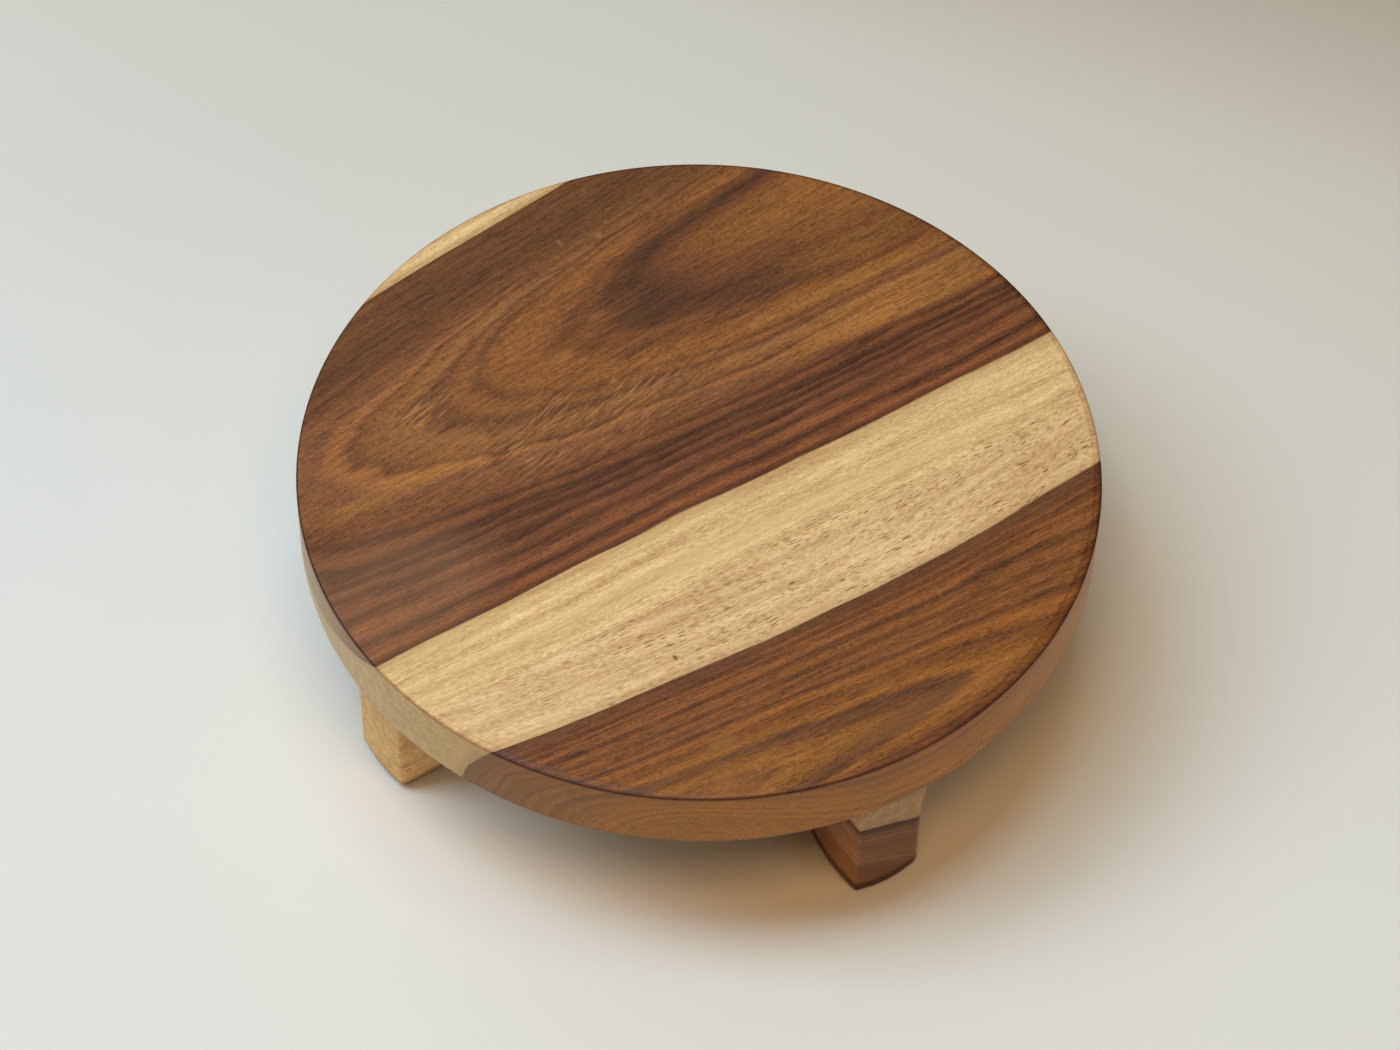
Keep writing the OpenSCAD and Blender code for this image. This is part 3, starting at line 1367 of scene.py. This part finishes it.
BACK_WOOD = OiledSheesham(
    name="oiled sheesham, sanded, wide plank",
    growth=BACK_GROWTH,
    rings=BACK_RINGS,
    sap_edge=134.4,
    oil=(1.08, 1.02, 0.77),
    calm_inside=117.0,
    even_tone="#674428",
    marks=(
        Mark(7.0, 100.4, 2.2, 4.5, "#9c6c44", 0.5),
        Mark(19.4, 96.9, 3.5, 3.5, "#a8753f", 0.6),
        # A pale veil over the left end of the rolling face is painted sheen.
        Mark(-108.0, 4.0, 94.0, 60.0, "#d8ac80", 0.11),
        Mark(-10.0, -31.0, 270.0, 9.0, "#e6c68e", 0.4),
        # A paler patch on the rim at the left end is painted sheen.
        Mark(-122.0, 30.0, 60.0, 84.0, "#c4a78a", 0.50, 2.5, 30.0),
    ),
    flares=(
        Mark(-88.0, 38.0, 70.0, 9.0, "#a1703a", 0.45),
        Mark(78.0, 40.0, 90.0, 8.0, "#a8763e", 0.5),
        Mark(86.0, 22.5, 116.0, 9.0, "#a3703b", 0.7),
        Mark(95.0, 29.5, 96.0, 10.0, "#a3703b", 0.5),
        Mark(94.0, 53.0, 90.0, 15.0, "#8f5f31", 0.55),
    ),
    sapwood=Sapwood(pale="#f8d79b", deep="#ae824b"),
    torn=(Patch(-64.0, 63.0, 30.0, 22.0), Patch(-22.0, 33.0, 112.0, 42.0)),
    seam=SEAM,
)

# The narrow plank: its pith lies just under the board, so the rings are tight and one ends in a tongue.
FRONT_GROWTH = Growth(
    pith=Line(-109.6),
    near_edge=Line(-151.6, -0.012, -0.0004),
    far_edge=Line(-67.3, 0.005, 0.00056),
    half_width=42.3,
    pith_height=-28.0,
    pith_dip=0.05,
    upper_face=ROLLING_FACE / MM,
    wedge=0.16,
    seed=7.7,
)
FRONT_RINGS = growth_rings(
    (0.0, "#9a6a38"), (14.0, "#8f5f32"), (22.0, "#97663a"), (24.8, "#855830"), (26.0, "#7d5131"),
    (26.9, "#8a5c2e"), (28.0, "#87592d"), (28.5, "#70482e"), (29.3, "#623f2b"), (29.9, "#694530"),
    (30.2, "#84562b"), (31.8, "#83542b"), (32.2, "#6c442a"), (33.3, "#8c582d"), (34.6, "#82532d"),
    (35.3, "#69412a"), (36.2, "#815330"), (36.9, "#6c442a"), (37.8, "#80512f"), (39.0, "#6b4329"),
    (40.2, "#805231"), (42.0, "#6e452a"), (43.5, "#825233"), (45.6, "#744829"), (46.6, "#5e3b27"),
    (47.2, "#7a4d31"), (48.0, "#5c3b29"), (49.0, "#6c4731"), (50.2, "#583a2a"),
)
FRONT_WOOD = OiledSheesham(
    name="oiled sheesham, sanded, narrow plank",
    growth=FRONT_GROWTH,
    rings=FRONT_RINGS,
    sap_edge=50.2,
    sapwood=Sapwood(pale="#f4d49c", open_up_to=0.0),
    oil=(1.13, 1.04, 0.67),
    wander=0.3,
    marks=(
        Mark(-44.0, -59.9, 1.6, 2.6, "#6b4a2a", 0.85),
        Mark(0.9, -53.4, 3.2, 1.6, "#7d5a35", 0.8),
        Mark(-56.4, -48.4, 2.0, 1.0, "#6f5234", 0.7),
        Mark(38.7, -78.4, 5.0, 1.0, "#a06d40", 0.5),
        Mark(37.4, -80.0, 1.1, 3.4, "#a06d40", 0.4),
        Mark(-47.5, -93.3, 13.0, 6.0, "#9a6a33", 0.5),
        Mark(-65.0, -104.0, 90.0, 30.0, "#96652f", 0.16),
        Mark(8.0, -113.0, 80.0, 12.0, "#956431", 0.3),
        # This paler patch on the rim at the right front is painted sheen.
        Mark(84.0, -98.0, 84.0, 60.0, "#b9804f", 0.25, 2.5, 30.0),
    ),
    seam=SEAM,
)

PLANKS = (
    Plank("oiled_back_plank", "back_plank", "back_plank_wood", BACK_WOOD,
          (Side.LEFT, Side.RIGHT, Side.BACK), True, 240),
    Plank("oiled_front_plank", "front_plank", "front_plank_wood", FRONT_WOOD, (Side.FRONT,), False, 160),
)

# The feet are cut from the same stock, and their rings are wider.
FOOT_RINGS = growth_rings(
    (20.0, "#94633c"), (34.0, "#8a5a36"), (42.0, "#9a6a44"), (48.0, "#855737"), (54.0, "#9e704c"),
    (60.0, "#8f6040"), (64.5, "#96684a"), (66.5, "#8a5c40"), (67.6, "#6a4733"), (70.0, "#543828"),
)


def foot_wood(
    side: Side,
    pith: float,
    depth: float,
    seed: float,
    sap_edge: float = 70.0,
    end_sap: Triple = (1.12, 1.07, 0.81),
) -> OiledSheesham:
    """Describe the wood of one foot, cut from the same stock with its grain towards the centre.

    Args:
        side: which foot it is.
        pith: place of the pith across the foot, in mm.
        depth: how far the pith lies below the top of the foot, in mm.
        seed: what makes this block differ from the others.
        sap_edge: how far from the pith the heartwood ends, in mm.
        end_sap: what the end grain of the sapwood sends back beside its sides.

    Returns:
        The wood.
    """
    growth = Growth(
        pith=Line(pith),
        near_edge=Line(pith - 70.0),
        far_edge=Line(pith + 70.0),
        half_width=70.0,
        pith_height=-depth,
        pith_dip=0.0,
        upper_face=UNDERSIDE / MM,
        turn=side.angle,
        drift=(0.0, 0.9, 0.9),
        seed=seed,
    )
    return OiledSheesham(
        name=f"oiled sheesham block, {side.word}",
        growth=growth,
        rings=FOOT_RINGS,
        sap_edge=sap_edge,
        sapwood=Sapwood(pale="#dcbc88", deep="#a88452", open_up_to=200.0),
        oil=(1.0, 1.02, 0.95),
        upright=(1.47, 1.36, 1.22),
        upright_sap=(1.26, 1.14, 1.00),
        # The end grain is darker for the oil it drinks, and darker still as painted shade.
        end_heart=(0.43, 0.47, 0.57),
        end_sap=end_sap,
        dark_edge_heart="#84746a",
        dark_edge_sap="#b79c80",
        dust=0.0,
        streak_depth=0.9,
        roughness=0.55,
    )


# The front foot and the left one are the most worn. The numbers of a foot's wood are the place of the
# pith across the foot and its depth, in mm, and then the seed.
# The front foot and the right one have a band of painted shade above the base, and the front foot's
# end-grain sapwood is darkened further as painted shade.
FEET = (
    Foot(Side.FRONT, foot_wood(Side.FRONT, -26.0, 89.7, 1.0, end_sap=(0.59, 0.63, 0.78)),
         base=2.2 * MM, shade_band=2.0 * MM, belly=1.2 * MM,
         corners=(3.8 * MM, 2.0 * MM, 2.0 * MM, 1.4 * MM)),
    Foot(Side.LEFT, foot_wood(Side.LEFT, 60.0, 40.0, 2.0, sap_edge=40.0), base=4.6 * MM, belly=0.8 * MM,
         corners=(1.2 * MM, 2.0 * MM, 2.0 * MM, 3.2 * MM), twist=5.0, shift=0.6 * MM),
    Foot(Side.RIGHT, foot_wood(Side.RIGHT, -30.0, 60.0, 3.0), shade_band=0.4 * MM),
    Foot(Side.BACK, foot_wood(Side.BACK, 10.0, 75.0, 4.0)),
)


def main() -> None:
    """Build every piece, dress it and report it."""
    logging.basicConfig(level=logging.INFO, format="%(message)s")
    board = RoundBoard()
    for plank in PLANKS:
        made = board.build(plank)
        log.info("%s: %d faces", made.name, len(made.data.polygons))
    for foot in FEET:
        made = foot.build()
        log.info("%s: %d faces", made.name, len(made.data.polygons))
    for dowel in Dowels().dress():
        log.info("%s: dressed", dowel.name)
    for thing in Studio().build():
        log.info("%s: in the studio", thing.name)


if __name__ == "__main__":
    main()
